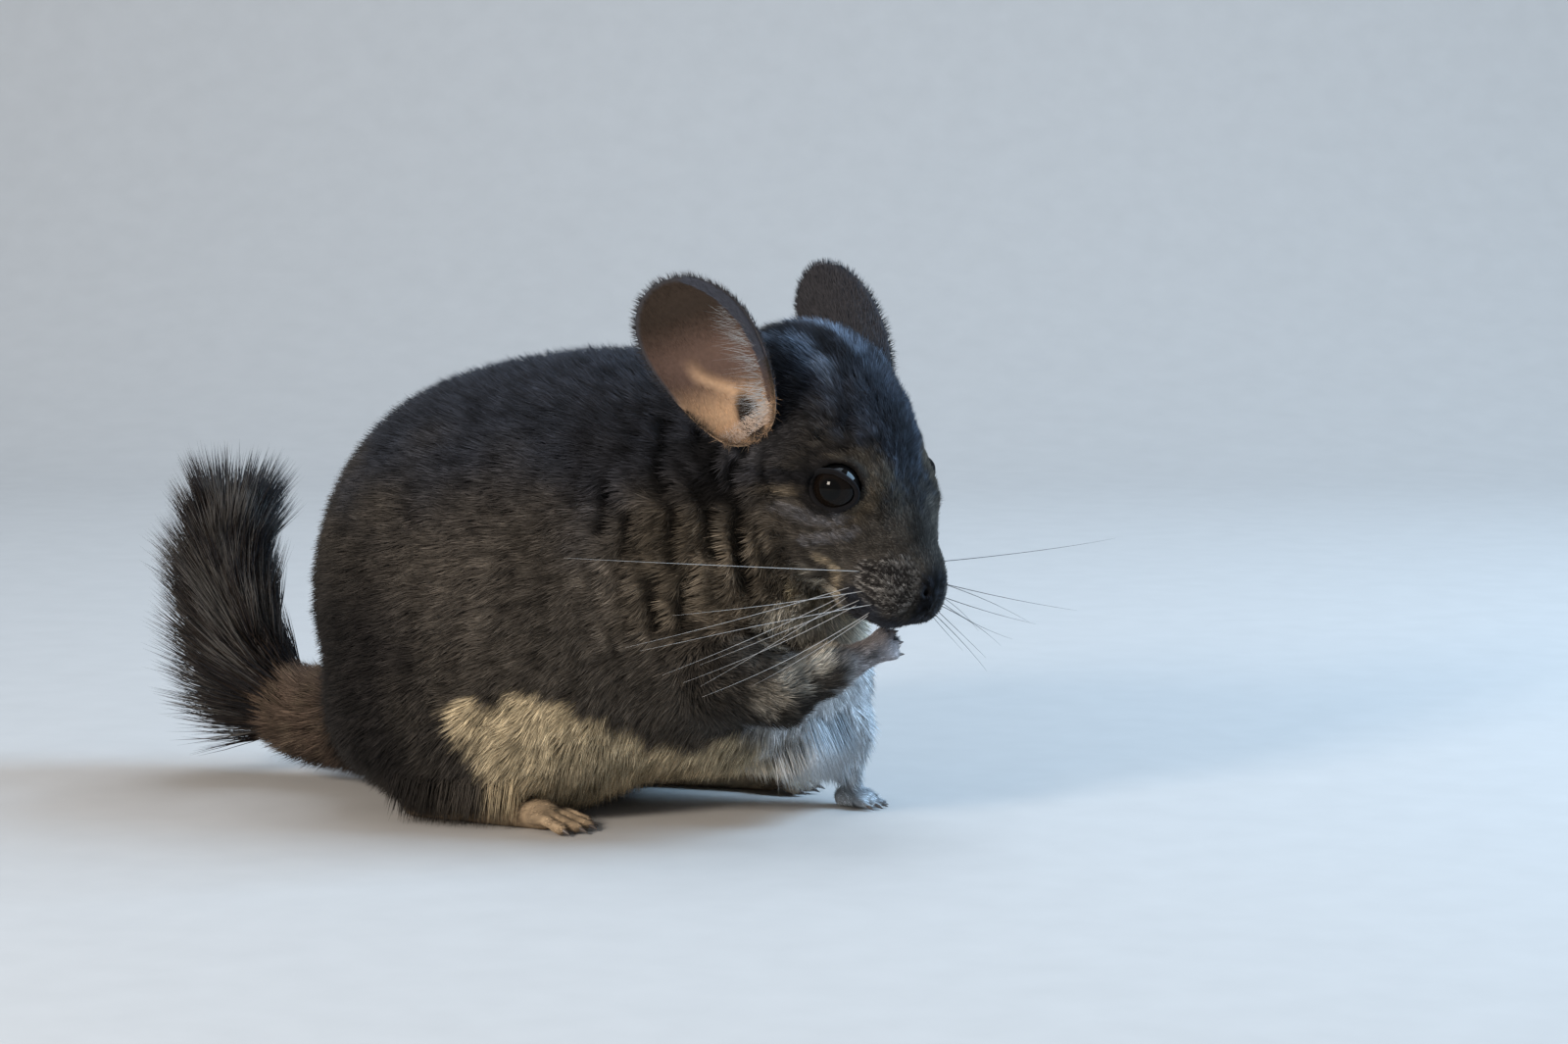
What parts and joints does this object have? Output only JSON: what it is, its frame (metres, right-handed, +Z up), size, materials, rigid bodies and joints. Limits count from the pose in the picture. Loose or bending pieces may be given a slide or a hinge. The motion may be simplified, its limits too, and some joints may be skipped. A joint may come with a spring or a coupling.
{
  "type": "chinchilla",
  "caption": "Still life-size grey chinchilla with large cupped ears and a bushy tail, sitting hunched with its head turned and a forepaw raised to its mouth.",
  "frame": {"origin": "on the floor, below the middle of the bounding box", "axes": "+X forward along the body from rump to chest, +Y the animal's left side, +Z up"},
  "size_m": [0.2726, 0.173, 0.1576],
  "materials": {
    "coat": "dense matt plush fur, dark grey with pale ticking",
    "pale_coat": "dense matt plush fur, cream white",
    "ear_skin": "thin bare skin, brown grey to pink, satin",
    "eye": "wet gloss, nearly black",
    "paw_skin": "bare skin with very short hair, tan pink",
    "tail_hair": "long coarse hair, dark brown to black"
  },
  "bodies": {
    "root": {"torso": "coat", "neck": "coat", "head": "coat", "muzzle": "coat", "ear_left": "ear_skin", "ear_right": "ear_skin", "eye_left": "eye", "eye_right": "eye", "hindleg_left": "coat", "hindleg_right": "coat", "hindfoot_left": "paw_skin", "hindfoot_right": "paw_skin", "foreleg_left": "pale_coat", "foreleg_right": "coat", "forepaw_left": "paw_skin", "forepaw_right": "paw_skin", "tail_base": "coat", "tail_brush": "tail_hair", "whiskerpad_left": "coat", "whiskerpad_right": "coat"}
  },
  "joints": []
}
